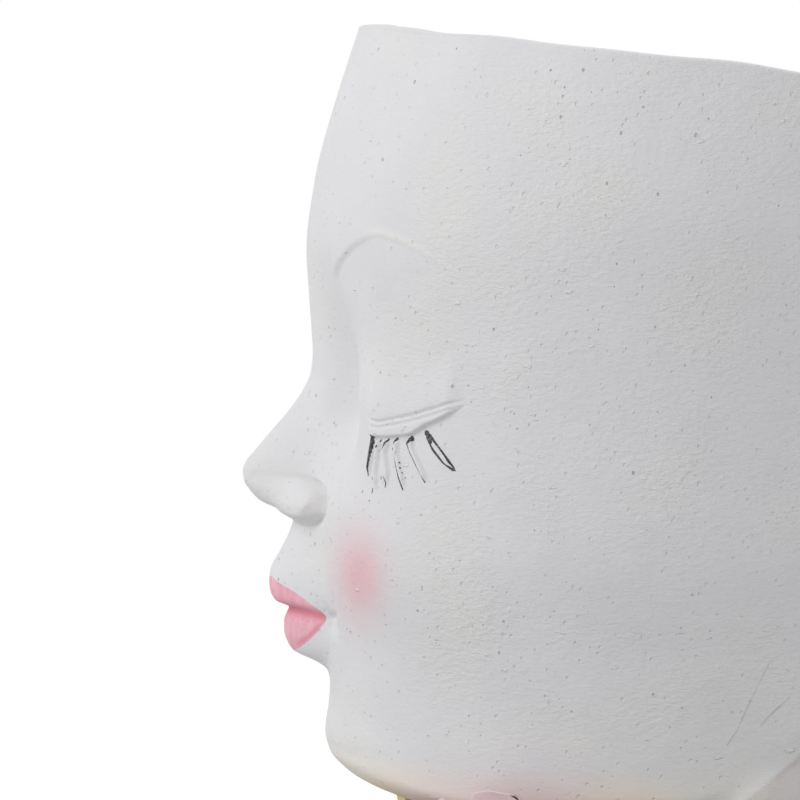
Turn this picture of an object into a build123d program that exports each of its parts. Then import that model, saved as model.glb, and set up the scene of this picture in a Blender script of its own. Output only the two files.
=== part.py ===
"""A head planter: a hollow cast doll's head on a round plinth, with a flower collar round its neck.

Millimetres and degrees. +Z is up, the face looks along -Y, and the origin is on the floor under
the middle of the head. Heights in the face are measured up from the chin, sideways places from the
plane through the nose, and angles round the head from the front.
"""

from build123d import *
import math
import os

# Foot: pads, plinth and the drain through the floor
pad_thickness = 2.0
pad_radius = 7.0
pad_count = 4
plinth_height = 12.0
plinth_ledge = 1.0
plinth_edge_round = 2.5
recess_radius = 28.0
recess_clear = 1.5
floor_thickness = 9.0
drain_radius = 8.0

# Drain plug
plug_clearance = 0.05
plug_overhang = 5.0
plug_flange_thickness = 2.5
plug_stem_stand = 1.5
plug_tab_length = 12.0
plug_tab_width = 4.0
plug_tab_drop = 3.0

# Neck, shell and rim
neck_radius = 42.0
wall = 7.0
rim_height = 138.0
rim_slope = 7.5

# Flower collar
blossom_pairs = 4
collar_clearance = 0.3
collar_thickness = 10.7
collar_height = 25.0
collar_headroom = 1.0
yellow_radius = 18.0
yellow_headroom = 0.5
blossom_gap = 2.4
petal_count = 5
petal_thickness = 2.0
petal_twist = 11.0
petal_cup = 0.32
inner_petal_share = 0.62
inner_petal_lift = 0.9
calyx_radius = 7.0
calyx_height = 3.0
hub_height = 7.0
hub_lip = 0.6
button_radius = 4.4
button_height = 3.2
bead_radius = 0.9
bead_count = 7
leaf_length = 18.0
leaf_width = 11.0
leaf_thickness = 1.8
leaf_bend_radius = 28.0
leaf_seat_radius = 4.0
leaf_seat_height = 3.0

# Skull: its reach to the front, sides and back, and each outline as shares of rim height and reach
head_front = 76.9
head_half_width = 67.5
head_back = 88.4
front_shares = [(-0.36, 0.936), (0.04, 0.944), (0.17, 0.954), (0.3, 0.975), (0.58, 0.986), (0.7, 1),
                (0.8, 0.981), (0.9, 0.933), (1, 0.871), (1.12, 0.77)]
side_shares = [(-0.36, 0.68), (0.04, 0.71), (0.1, 0.747), (0.2, 0.813), (0.33, 0.882), (0.47, 0.926),
               (0.62, 0.97), (0.76, 1), (0.88, 0.978), (1, 0.926), (1.12, 0.84)]
back_shares = [(-0.36, 0.95), (0.14, 0.973), (0.43, 0.995), (0.62, 1), (0.8, 0.973), (0.94, 0.905),
               (1.02, 0.86), (1.12, 0.78)]
skull_fullness = 2.1

# Jaw and nape: how the head turns in to the neck
jaw_drop = 5.0
jaw_rise = 3.0
jaw_corner_angle = 88.0
jaw_turn_front = 14.0
jaw_turn_side = 6.5
nape_rise = 18.0
nape_fall = 10.0
nape_start_angle = 84.0
nape_sweep = 36.0
nape_turn = 60.0

# Nose
nose_height = 57.3
nose_reach = 12.6
nose_bridge_length = 10.0
nose_underside = 6.4
nose_half_width = 7.4
nose_bridge_narrowing = 2.0
nose_wing_drop = 5.7
nose_wing_offset = 8.6
nose_wing_size = 4.2
nose_wing_reach = 4.0

# Mouth
mouth_height = 33.0
mouth_half_width = 14.5
mouth_droop = 1.1
mouth_corner_depth = 1.3
mouth_corner_size = 2.6
upper_lip_height = 4.2
upper_lip_reach = 4.6
lower_lip_height = 3.7
lower_lip_reach = 4.2
muzzle_reach = 4.0
muzzle_half_width = 16.0
muzzle_half_height = 13.0

# Chin and cheeks
chin_height = 9.0
chin_reach = 1.6
chin_spread = 12.0
chin_fold_height = 19.5
chin_fold_depth = 1.3
chin_fold_size = 4.0
cheek_height = 42.0
cheek_offset = 32.0
cheek_reach = 2.0
cheek_spread = 14.0

# Eyes and brows
eye_height = 70.0
socket_above = 17.0
socket_below = 10.0
inner_socket_offset = 17.0
inner_socket_depth = 6.6
inner_socket_spread = 11.0
inner_socket_nose_side = 7.0
outer_socket_offset = 38.0
outer_socket_depth = 2.6
outer_socket_spread = 13.0
eyeball_offset = 32.0
eyeball_reach = 3.4
eyeball_half_width = 11.0
eyeball_half_height = 10.0
brow_height = 99.5
brow_offset = 35.0
brow_half_width = 17.0
brow_arch = 7.0
brow_size = 3.0
brow_reach = 0.9

# Ears
ear_angle = 111.0
ear_height = 58.0
ear_half_height = 18.0
ear_half_width = 11.0
ear_lean = 0.2
ear_reach = 3.6
ear_flare = 0.25
ear_rim_reach = 2.0
ear_groove_depth = 0.9
ear_bowl_depth = 4.0
ear_bowl_size = 5.5
ear_flap_reach = 2.0
ear_flap_size = 2.8

# What follows from the sizes above
recess_depth = plug_flange_thickness + plug_tab_drop + recess_clear
plinth_bottom = pad_thickness
plinth_top = plinth_bottom + plinth_height
floor_bottom = plinth_bottom + recess_depth
floor_top = floor_bottom + floor_thickness
jaw_low = plinth_top + collar_height + collar_headroom
chin_level = jaw_low + 2 * jaw_drop
collar_sides = 4 * blossom_pairs
collar_apothem = neck_radius + collar_clearance + collar_thickness
plinth_radius = collar_apothem + plinth_ledge
pad_circle_radius = (recess_radius + plinth_radius) / 2
blossom_height = chin_level - yellow_headroom - yellow_radius
nose_wing_height = nose_height - nose_wing_drop
front_outline = [(rim_height * up, head_front * out) for up, out in front_shares]
side_outline = [(rim_height * up, head_half_width * out) for up, out in side_shares]
back_outline = [(rim_height * up, head_back * out) for up, out in back_shares]
rim_level = chin_level + rim_height
lean_level = chin_level + eye_height
half_share = math.tan(math.radians(90 / blossom_pairs))
pink_radius = ((collar_apothem + calyx_height) * half_share - blossom_gap) / (1 - petal_cup * half_share)
overlap = 1.0


def through(points, x):
    """A smooth curve through points, with a slope at each that overshoots neither neighbour."""
    steps = [(b[1] - a[1]) / (b[0] - a[0]) for a, b in zip(points, points[1:])]
    slopes = [steps[0]]
    for before, after in zip(steps, steps[1:]):
        turning = before * after <= 0
        slopes.append(0 if turning else 2 * before * after / (before + after))
    slopes.append(steps[-1])
    span = max(i for i in range(len(steps)) if i == 0 or x >= points[i][0])
    (x0, y0), (x1, y1) = points[span], points[span + 1]
    width = x1 - x0
    t = min(max((x - x0) / width, 0), 1)
    lead = t * (1 - t) ** 2 * slopes[span] * width
    trail = t * t * (t - 1) * slopes[span + 1] * width
    return y0 + (y1 - y0) * ease(t) + lead + trail


def hump(distance, spread, power=2.0):
    """1 at no distance, falling away over the spread; a higher power has a flatter top."""
    return math.exp(-abs(distance / spread) ** power)


def ease(t):
    """0 below 0, 1 above 1, and smooth between."""
    t = min(max(t, 0), 1)
    return t * t * (3 - 2 * t)


rim_reach = through(front_outline, rim_height)


def skull_reach(angle, h):
    """Reach of the plain skull, with no face on it."""
    facing = math.cos(math.radians(angle))
    across = math.sin(math.radians(angle))
    outline = front_outline if facing >= 0 else back_outline
    along = abs(facing) / through(outline, h)
    aside = abs(across) / through(side_outline, h)
    return (along ** skull_fullness + aside ** skull_fullness) ** (-1 / skull_fullness)


def head_share(angle, h):
    """0 where the neck shows and 1 where the head does, turning in under the jaw and the nape."""
    nape = nape_rise * ease((angle - nape_start_angle) / nape_sweep)
    nape -= nape_fall * ease((angle - nape_start_angle - nape_sweep) / 60)
    edge = jaw_rise * ease(angle / jaw_corner_angle) + nape - jaw_drop
    turn = jaw_turn_front + (jaw_turn_side - jaw_turn_front) * ease(angle / 45)
    turn += (nape_turn - jaw_turn_side) * ease((angle - 105) / 60)
    t = (h - edge) / turn
    t = min((t + math.sqrt(t * t + 0.006)) / 2, 1)
    return 1 - (1 - t) ** 2


def nose(x, h):
    above = h - nose_height
    length = hump(above, nose_bridge_length) if above > 0 else hump(above, nose_underside, 3)
    half_width = nose_half_width - nose_bridge_narrowing * ease(above / nose_bridge_length / 1.5)
    wing = hump(x - nose_wing_offset, nose_wing_size, 3) * hump(h - nose_wing_height, nose_wing_size, 3)
    return nose_reach * length * hump(x, half_width, 2.2) + nose_wing_reach * wing


def mouth(x, h):
    """Two lips that taper to the corners, on a rounded muzzle."""
    along = min(x / mouth_half_width, 1)
    seam = mouth_height - mouth_droop * along ** 2
    taper = 0.2 + 0.8 * math.sqrt(1 - along ** 2)
    upper = (h - seam) / taper - upper_lip_height
    lower = (h - seam) / taper + lower_lip_height
    upper_lip = hump(upper, 1.8 * upper_lip_height) if upper > 0 else hump(upper, 0.8 * upper_lip_height, 3)
    below = 1.6 * lower_lip_height
    lower_lip = hump(lower, 0.87 * lower_lip_height, 3) if lower > 0 else hump(lower, below, 5)
    ends = taper * ease(2.4 * (1.15 - x / mouth_half_width))
    lips = (upper_lip_reach * upper_lip + lower_lip_reach * lower_lip) * ends
    above = h - mouth_height - upper_lip_height
    half_height = muzzle_half_height if above > 0 else 0.8 * muzzle_half_height
    muzzle = muzzle_reach * hump(x, muzzle_half_width) * hump(above, half_height)
    corner = hump(x - 1.07 * mouth_half_width, mouth_corner_size) * hump(h - seam, mouth_corner_size)
    return lips + muzzle - mouth_corner_depth * corner


def chin_and_cheek(x, h):
    chin = chin_reach * hump(x, chin_spread) * hump(h - chin_height, 0.7 * chin_spread)
    fold = chin_fold_depth * hump(x, 1.3 * chin_spread) * hump(h - chin_fold_height, chin_fold_size)
    cheek = cheek_reach * hump(x - cheek_offset, cheek_spread) * hump(h - cheek_height, cheek_spread)
    return chin - fold + cheek


def eye(x, h):
    """A socket, deepest beside the nose, with a closed lid over the eyeball and the brow above."""
    above = h - eye_height
    level = hump(above, socket_above if above > 0 else socket_below)
    inner_spread = inner_socket_nose_side if x < inner_socket_offset else inner_socket_spread
    inner = inner_socket_depth * hump(x - inner_socket_offset, inner_spread) * level
    outer = outer_socket_depth * hump(x - outer_socket_offset, outer_socket_spread) * level
    ball = hump(x - eyeball_offset, eyeball_half_width) * hump(above, eyeball_half_height)
    arch = brow_height - brow_arch * ((x - brow_offset) / brow_half_width) ** 2
    brow = hump(h - arch, brow_size) * hump(x - brow_offset, brow_half_width, 6)
    return eyeball_reach * ball + brow_reach * brow - inner - outer


def ear(angle, h, reach):
    """A flat-lying ear: a flared leaf with a raised rim, a bowl and the small flap in front of it."""
    up = h - ear_height
    back = math.radians(angle - ear_angle) * reach - ear_lean * up
    half_width = ear_half_width + 0.12 * up
    ring = math.hypot(back / half_width, up / ear_half_height)
    if ring > 1.4:
        return 0.0
    leaf = (ear_reach + ear_flare * back) * (1 - ease((ring - 0.85) / 0.3))
    rim = ear_rim_reach * hump(ring - 0.84, 0.13) * ease(2 + 2 * back / ear_half_width)
    groove = ear_groove_depth * hump(ring - 0.62, 0.1) * ease(0.6 + 3.6 * up / ear_half_height)
    bowl = hump(back / ear_half_width + 0.18, 0.4) * hump(up + 0.45 * ear_bowl_size, 1.2 * ear_bowl_size)
    flap = hump(back / ear_half_width + 0.78, 0.22) * hump(up + 0.7 * ear_flap_size, 1.2 * ear_flap_size)
    return leaf + rim - groove - ear_bowl_depth * bowl + ear_flap_reach * flap


def head_reach(angle, z):
    """Reach of the finished outside: neck, skull, face and ears."""
    h = z - chin_level
    reach = skull_reach(angle, h)
    x = reach * math.sin(math.radians(angle))
    if angle < 80:
        reach += nose(x, h) + mouth(x, h) + chin_and_cheek(x, h) + eye(x, h)
    else:
        reach += ear(angle, h, reach)
    return neck_radius + (reach - neck_radius) * head_share(angle, h)


def hollow_reach(angle, z):
    """Reach of the inside: the plain skull less the wall, and less the eye sockets behind the face."""
    h = z - chin_level
    socket = (inner_socket_depth + outer_socket_depth) * hump(h - eye_height, 2 * socket_above)
    share = head_share(angle, h - 0.6 * wall)
    outside = neck_radius + (skull_reach(angle, h) - neck_radius) * share
    return outside - wall - socket * ease(1.2 - angle / 75)


def graded(start, end, step_at):
    """Values from start to end, each a step on from the last, the steps easing from fine to coarse."""
    values = [start]
    while values[-1] < end:
        middle = values[-1] + step_at(values[-1]) / 2
        values.append(values[-1] + step_at(middle))
    shrink = (end - start) / (values[-1] - start)
    return [start + (value - start) * shrink for value in values]


def ring_at(reach_at, z, angles):
    """One closed curve round the head, level low down and leaning with the rim higher up."""
    fall = math.tan(math.radians(rim_slope * ease((z - lean_level) / (rim_level - lean_level))))
    turns = [-angle for angle in reversed(angles)] + angles[1:-1]
    points = []
    for turn in turns:
        across = math.sin(math.radians(turn))
        facing = math.cos(math.radians(turn))
        level = z
        for _ in range(5):
            reach = reach_at(abs(turn), level)
            level = z + fall * (reach * facing - rim_reach)
        points.append(Vector(reach * across, -reach * facing, level))
    places = [(turn + 180) / 360 for turn in turns] + [1.0]
    return Wire([Edge.make_spline(points, periodic=True, parameters=places)])


def turned_solid(reach_at, heights, angles):
    """The solid inside a reach given by angle and height."""
    return Solid.make_loft([ring_at(reach_at, z, angles) for z in heights])


def disc(radius, bottom, height):
    return Pos(0, 0, bottom + height / 2) * Cylinder(radius, height)


def face_and_ear_steps(angle):
    """Degrees between neighbours on a level curve: close at the face and the ear, wide elsewhere."""
    step = 1.5 + 2.6 * ease((angle - 45) / 45)
    step -= 1.6 * ease((angle - 80) / 25)
    return step + 2.2 * ease((angle - 120) / 40)


def face_steps(z):
    """Millimetres between neighbouring level curves: close at the face, wide in the neck and the brow."""
    return 1.5 + 3.5 * ease((jaw_low - z) / 14) + 2.5 * ease((z - chin_level - eye_height - 20) / 40)


def hollow_steps(z):
    return 3 + 4 * ease((jaw_low - z) / 14) + 5 * ease((z - chin_level - 20) / 40)


def build_head_shell():
    angles = graded(0, 180, face_and_ear_steps)
    outside = turned_solid(head_reach, graded(plinth_top - overlap, rim_level, face_steps), angles)
    hollow_angles = graded(0, 180, lambda angle: 7.5)
    hollow = turned_solid(hollow_reach, graded(floor_top, rim_level + overlap, hollow_steps), hollow_angles)
    plinth = disc(plinth_radius, plinth_bottom, plinth_height)
    plinth = fillet(plinth.edges(), plinth_edge_round)
    recess = disc(recess_radius, plinth_bottom, recess_depth)
    drain = disc(drain_radius, floor_bottom, floor_thickness)
    return outside + plinth - [hollow, recess, drain]


def build_collar_halves():
    """A many-sided ring in two halves, which close round the neck on the plinth, a flower to a side."""
    outline = RegularPolygon(collar_apothem, collar_sides, major_radius=False, rotation=180 / collar_sides)
    ring = extrude(outline - Circle(neck_radius + collar_clearance), collar_height)
    edge_turn = math.radians(360 / collar_sides * (blossom_pairs + 0.5))
    across = Plane((0, 0, 0), z_dir=(math.cos(edge_turn), math.sin(edge_turn), 0))
    return [Pos(0, 0, plinth_top) * split(ring, across, keep=side) for side in (Keep.TOP, Keep.BOTTOM)]


def petal(radius):
    """One cupped petal along +X, its underside on the calyx, turned a little about its own length."""
    cup = petal_cup * radius
    bowl_radius = (radius ** 2 + cup ** 2) / (2 * cup)
    centre = calyx_height + petal_thickness + bowl_radius
    bowl = Sphere(bowl_radius + petal_thickness) - Sphere(bowl_radius)
    edge = [(0.1, 0), (0.34, 0.25), (0.7, 0.44), (0.94, 0.27), (0.97, 0)]
    side = [(radius * x, radius * y) for x, y in edge]
    other = [(x, -y) for x, y in reversed(side)]
    outline = make_face([Spline(*side), Spline(*other)])
    blank = Pos(0, 0, centre) * bowl & extrude(outline, centre)
    return blank.rotate(Axis((0, 0, calyx_height + petal_thickness), (1, 0, 0)), petal_twist)


def build_blossom(radius):
    """Two whorls of petals on a calyx, with a flat hub for the centre button."""
    outer = petal(radius)
    inner = Pos(0, 0, inner_petal_lift) * petal(inner_petal_share * radius)
    turn = 360 / petal_count
    petals = [Rot(0, 0, turn * k) * outer for k in range(petal_count)]
    petals += [Rot(0, 0, turn * (k + 0.5)) * inner for k in range(petal_count)]
    calyx = disc(calyx_radius, 0, calyx_height + petal_thickness / 2)
    hub = disc(button_radius + hub_lip, 0, hub_height)
    clear = disc(button_radius + hub_lip, hub_height, radius)
    return (Part() + [calyx, hub] + petals) - clear


def build_button():
    """The flower's centre: a domed button with a ring of beads, standing on the hub."""
    dome = disc(button_radius, hub_height, button_height)
    dome = fillet(dome.edges().sort_by(Axis.Z)[-1], 0.8 * button_height)
    bead = Pos(0, 0, hub_height + button_height) * Sphere(bead_radius)
    ring = [place * bead for place in PolarLocations(0.4 * button_radius, bead_count)]
    return Part() + [dome] + ring


def build_leaf_pair():
    """Two pointed leaves, one up and one down, bent outward from one seat."""
    root = (0, -leaf_seat_radius / 2)
    tip = (0, leaf_length)
    widest = leaf_length / 2
    outline = make_face([ThreePointArc(root, (leaf_width / 2, widest), tip),
                         ThreePointArc(tip, (-leaf_width / 2, widest), root)])
    both = outline + mirror(outline, Plane.XZ)
    centre = leaf_seat_height + leaf_bend_radius
    outside = Cylinder(leaf_bend_radius, 2 * leaf_width)
    inside = Cylinder(leaf_bend_radius - leaf_thickness, 2 * leaf_width)
    sheet = Pos(0, 0, centre) * Rot(0, 90, 0) * (outside - inside)
    seat = disc(leaf_seat_radius, 0, leaf_seat_height + leaf_thickness / 2)
    return seat + (sheet & extrude(both, centre))


def on_collar(shape, side):
    """A piece built on its own flat seat, moved to a side of the collar, side 0 being the front."""
    turn = math.radians(360 * side / collar_sides)
    outward = Vector(math.sin(turn), -math.cos(turn), 0)
    seat = Plane(outward * collar_apothem + Vector(0, 0, blossom_height),
                 x_dir=(math.cos(turn), math.sin(turn), 0), z_dir=outward)
    return seat.location * shape


def build_foot_pads():
    places = PolarLocations(pad_circle_radius, pad_count, start_angle=180 / pad_count)
    return Compound(children=[place * disc(pad_radius, 0, pad_thickness) for place in places])


def build_drain_plug():
    """Rubber plug: stem in the drain, flange under the floor, and a tab to pull it out by."""
    stem_height = floor_thickness + plug_stem_stand + overlap
    stem = disc(drain_radius - plug_clearance, floor_bottom - overlap, stem_height)
    flange_bottom = floor_bottom - plug_flange_thickness
    flange = disc(drain_radius + plug_overhang, flange_bottom, plug_flange_thickness)
    tab = Box(plug_tab_length, plug_tab_width, plug_tab_drop + overlap)
    tab = Pos(0, 0, flange_bottom + (overlap - plug_tab_drop) / 2) * tab
    return Part() + [stem, flange, tab]


def build_pieces():
    pieces = {
        "head_shell": build_head_shell(),
        "foot_pads": build_foot_pads(),
        "drain_plug": build_drain_plug(),
    }
    pieces["collar_front_half"], pieces["collar_back_half"] = build_collar_halves()
    yellow = build_blossom(yellow_radius)
    pink = build_blossom(pink_radius)
    button = build_button()
    leaf_pair = build_leaf_pair()
    for k in range(blossom_pairs):
        pieces[f"yellow_blossom_{k + 1}"] = on_collar(yellow, 4 * k)
        pieces[f"yellow_button_{k + 1}"] = on_collar(button, 4 * k)
        pieces[f"pink_blossom_{k + 1}"] = on_collar(pink, 4 * k + 2)
        pieces[f"pink_button_{k + 1}"] = on_collar(button, 4 * k + 2)
    for k in range(2 * blossom_pairs):
        pieces[f"leaf_pair_{k + 1}"] = on_collar(leaf_pair, 2 * k + 1)
    return pieces


if __name__ == "__main__":
    os.makedirs("parts", exist_ok=True)
    for name, shape in build_pieces().items():
        export_step(shape, f"parts/{name}.step")
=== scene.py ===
import bpy
import math
import numpy as np
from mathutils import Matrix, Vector


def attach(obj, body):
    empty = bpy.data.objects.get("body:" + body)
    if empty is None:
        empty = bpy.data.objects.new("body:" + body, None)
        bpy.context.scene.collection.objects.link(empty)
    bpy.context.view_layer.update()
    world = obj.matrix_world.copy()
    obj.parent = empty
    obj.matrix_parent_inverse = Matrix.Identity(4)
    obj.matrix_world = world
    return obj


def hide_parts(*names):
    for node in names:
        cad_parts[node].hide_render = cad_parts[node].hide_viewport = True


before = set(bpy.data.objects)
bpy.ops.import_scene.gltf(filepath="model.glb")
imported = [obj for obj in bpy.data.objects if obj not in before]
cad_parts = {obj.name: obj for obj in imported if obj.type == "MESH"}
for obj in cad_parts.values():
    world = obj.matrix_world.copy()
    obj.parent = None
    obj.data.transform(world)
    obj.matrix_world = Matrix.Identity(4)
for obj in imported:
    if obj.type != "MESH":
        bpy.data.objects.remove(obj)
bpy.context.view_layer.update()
scene = bpy.context.scene
scene.view_settings.view_transform = "Standard"
mm = 0.001


def hexLinear(code):
    # sRGB hex to the linear colour that shader sockets take
    parts = [int(code[k:k + 2], 16) / 255 for k in (1, 3, 5)]
    return tuple(c / 12.92 if c <= 0.04045 else ((c + 0.055) / 1.055) ** 2.4 for c in parts) + (1.0,)


def addNode(tree, kind, settings=None):
    # a setting is the node's own, or a socket's by name or number; there a source, a (node, output) pair, is linked
    node = tree.nodes.new(kind)
    for key, value in (settings or {}).items():
        if isinstance(key, str) and hasattr(node, key):
            setattr(node, key, value)
        elif isinstance(value, tuple) and isinstance(value[0], bpy.types.Node):
            tree.links.new(value[0].outputs[value[1]], node.inputs[key])
        else:
            node.inputs[key].default_value = value
    return node


def newMaterial(name, settings):
    material = bpy.data.materials.new(name)
    material.use_nodes = True
    tree = material.node_tree
    shader = tree.nodes["Principled BSDF"]
    for key, value in settings.items():
        shader.inputs[key].default_value = value
    return material, tree, shader


# each helper below works in the tree of its source
def noise(source, size, detail, **settings):
    # clouded noise, its grain in millimetres
    settings = {"Vector": source, "Scale": 1 / (size * mm), "Detail": detail, **settings}
    return addNode(source[0].id_data, "ShaderNodeTexNoise", settings), "Fac"


def cells(source, size):
    # cells of a size in millimetres: distance from a cell's middle, and a node with chances of the cell's own
    tree = source[0].id_data
    node = addNode(tree, "ShaderNodeTexVoronoi", {"Vector": source, "Scale": 1 / (size * mm)})
    return (node, "Distance"), addNode(tree, "ShaderNodeSeparateColor", {"Color": (node, "Color")})


def attribute(tree, name):
    return addNode(tree, "ShaderNodeAttribute", {"attribute_name": name}), "Fac"


def ranged(source, low, high, toLow=0.0, toHigh=1.0):
    settings = dict(enumerate((source, low, high, toLow, toHigh)))
    return addNode(source[0].id_data, "ShaderNodeMapRange", settings), 0


def reckon(operation, source, *others):
    # a sum on a source and then numbers or more sources
    settings = {"operation": operation, **dict(enumerate((source, *others)))}
    return addNode(source[0].id_data, "ShaderNodeMath", settings), 0


def layer(under, over, share):
    # one colour laid over another, each a hex code or a source
    under, over = (hexLinear(tone) if isinstance(tone, str) else tone for tone in (under, over))
    settings = {"data_type": "RGBA", 0: share, 6: under, 7: over}
    return addNode(share[0].id_data, "ShaderNodeMix", settings), 2


def join(source, shader, socket):
    source[0].id_data.links.new(source[0].outputs[source[1]], shader.inputs[socket])


def addBump(shader, height, strength, distance):
    # relief of a distance in millimetres, felt in the light only
    settings = {"Strength": strength, "Distance": distance * mm, "Height": height}
    bump = addNode(shader.id_data, "ShaderNodeBump", settings)
    join((bump, "Normal"), shader, "Normal")


def twoTone(name, settings, dark, pale, size, detail=4, span=(0.35, 0.65), grain=None):
    # one body in two tones that drift into each other; grain is (size, strength, depth), sizes in millimetres
    material, tree, shader = newMaterial(name, settings)
    place = (addNode(tree, "ShaderNodeTexCoord"), "Object")
    drift = ranged(noise(place, size, detail), *span)
    join(layer(dark, pale, drift), shader, "Base Color")
    if grain:
        addBump(shader, noise(place, grain[0], 3), *grain[1:])
    return material


def ease(t):
    t = np.clip(t, 0, 1)
    return t * t * (3 - 2 * t)


def within(value, low, lowSoft, high, highSoft):
    # 1 between low and high, eased to 0 at each end over its own width
    return ease((value - low) / lowSoft) * ease((high - value) / highSoft)


def hump(distance, spread, power=2.0):
    return np.exp(-np.abs(distance / spread) ** power)


def through(points, x):
    # a smooth curve through points, overshooting neither neighbour
    px = np.array([p[0] for p in points], float)
    py = np.array([p[1] for p in points], float)
    step = np.diff(py) / np.diff(px)
    slope = np.concatenate([step[:1], np.zeros(len(step) - 1), step[-1:]])
    same = step[:-1] * step[1:] > 0
    total = np.where(same, step[:-1] + step[1:], 1)
    slope[1:-1] = np.where(same, 2 * step[:-1] * step[1:] / total, 0)
    k = np.clip(np.searchsorted(px, x, side="right") - 1, 0, len(step) - 1)
    width = px[k + 1] - px[k]
    t = np.clip((x - px[k]) / width, 0, 1)
    lead = t * (1 - t) ** 2 * slope[k] * width
    trail = t * t * (t - 1) * slope[k + 1] * width
    return py[k] + (py[k + 1] - py[k]) * ease(t) + lead + trail


def steps(start, *stretches):
    # values from start on, each stretch given as (end, step)
    values = [start]
    for end, step in stretches:
        count = max(1, round((end - values[-1]) / step))
        first = values[-1]
        values += [first + (end - first) * (k + 1) / count for k in range(count)]
    return np.array(values)


# camera: level with the cheek on the head's left side, a little above, with a long lens
view = dict(lookAt=(0, -60.1, 120.2), away=850, rise=2.5, frameWidth=144, sensor=36, clip=0.01)


def aimAtHead(name, data, place):
    # an object at a place in metres, turned to what the camera looks at
    obj = bpy.data.objects.new(name, data)
    scene.collection.objects.link(obj)
    obj.location = place
    obj.rotation_euler = (Vector(view["lookAt"]) * mm - obj.location).to_track_quat("-Z", "Y").to_euler()
    return obj


def addCamera():
    data = bpy.data.cameras.new("camera")
    data.sensor_width = view["sensor"]
    data.lens = view["sensor"] * view["away"] / view["frameWidth"]
    data.clip_start = view["clip"]
    rise = math.radians(view["rise"])
    away = Vector((math.cos(rise), 0, math.sin(rise))) * view["away"]
    scene.camera = aimAtHead("camera", data, (Vector(view["lookAt"]) + away) * mm)


addCamera()
print("camera placed")

# head: millimetres, heights above the chin, sideways from the plane through the nose
skull = dict(
    rim=138, front=76.9, side=67.5, back=88.4, fullness=2.1, chinLevel=50, neck=42, wall=7,
    frontShares=[(-0.36, 0.936), (0.04, 0.944), (0.17, 0.954), (0.3, 0.975), (0.58, 0.986), (0.7, 1), (0.8, 0.981),
                 (0.9, 0.933), (1, 0.871), (1.12, 0.77)],
    sideShares=[(-0.36, 0.7), (0.04, 0.737), (0.1, 0.755), (0.2, 0.804), (0.33, 0.886), (0.47, 0.928), (0.62, 0.97),
                (0.76, 1), (0.88, 0.978), (1, 0.926), (1.12, 0.84)],
    backShares=[(-0.36, 0.95), (0.14, 0.973), (0.43, 0.995), (0.62, 1), (0.8, 0.973), (0.94, 0.905), (1.02, 0.86),
                (1.12, 0.78)])
# the middle line of the face, read as height and reach
faceLine = [(-2, 57), (0, 60.5), (1.8, 65.3), (3.6, 68.8), (5.4, 71.1), (7.2, 72.7), (10.8, 73.6), (16.2, 72.9),
            (19.8, 72.7), (21.6, 73.1), (22.5, 74), (23.4, 75.6), (24.5, 78.1), (25.2, 79.4), (27, 80.5), (28.8, 81),
            (30.6, 81), (32, 80.5), (33, 80.1), (34.2, 82.6), (36, 83.5), (37.8, 83.7), (39.6, 83.5), (43.2, 81.7),
            (46.8, 79.9), (48.6, 79.4), (50.4, 81.5), (52.2, 85.3), (54, 87.1), (55.8, 88.2), (57.6, 88.4),
            (59.4, 87.7), (61.2, 86.2), (64.8, 83.2), (68.4, 80.1), (72, 77.6), (75.6, 76.1), (79.2, 75.8),
            (82.8, 76), (90, 76.5), (97.2, 76.9), (109.8, 75.4), (124.2, 71.6), (138, 67)]
jaw = dict(drop=5, rise=3, corner=88, turnFront=14, turnSide=6.5, napeRise=18.5, napeFall=10, napeStart=75.5,
           napeSweep=36, napeFade=60, napeTurn=60, napeTurnStart=105, sideStart=45, softness=0.006,
           flare=8.6, flareLevels=(-11, -3), flareSpan=(70, 20, 130, 24))
nose = dict(
    height=57.3, reach=12.6, bridge=10, under=6.4, underShape=3, halfWidth=7.4, sideShape=2.2, narrowing=2,
    narrowEnd=1.5, broad=2.2, broadFall=5, wingHeight=52.7, wingOffset=6, wingWide=11.6, wingTall=4.4, wingShape=3.5,
    wingReach=4.8, wingFront=7, wingSlope=1.35, wingCrease=0.6, creaseRing=1.04, creaseSize=0.1, creaseSlope=1.3,
    wingBlend=6, blendSize=0.9, wingLean=0.08)
mouth = dict(
    height=33, halfWidth=14.5, droop=1.1, tip=0.2, endShape=1.5, upper=4.2, upperReach=4.6, upperRise=1.8,
    upperFall=0.8, lower=3.7, lowerReach=4.2, lowerRise=0.87, lowerFall=1.6, lipShape=3, footShape=5,
    muzzle=4, muzzleWide=14, muzzleTall=13, muzzleBelow=0.8, cornerPlace=1.07, cornerDepth=1.3, cornerSize=2.6,
    dimple=0.5, dimpleSize=0.55, dimpleDrop=0.8, dimpleSlope=0.22, dimpleSpan=(13.5, 1.5, 21.5, 5))
cheek = dict(height=42, offset=32, reach=2, spread=14)
eye = dict(height=70, above=17, below=10, innerOffset=19, innerDepth=7.4, innerSpread=10, innerNoseSide=7.2,
           outerOffset=38, outerDepth=2.6, outerSpread=13, ballOffset=32, ballReach=3.4, ballWide=11, ballTall=10)
ear = dict(
    angle=111, height=58, tall=18, wide=11, lean=0.2, widening=0.12, reach=3.6, flare=0.25, edge=0.85, edgeSoft=0.3,
    rim=2, rimRing=0.84, rimSize=0.13, groove=0.9, grooveRing=0.62, grooveSize=0.1, grooveStart=0.6, grooveRise=3.6,
    bowl=4, bowlSize=5.5, bowlBack=0.18, bowlWide=0.4, bowlDrop=0.45, flap=2, flapSize=2.8, flapBack=0.78,
    flapWide=0.22, flapDrop=0.7, length=1.2, limit=1.4, fromAngle=80)


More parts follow.
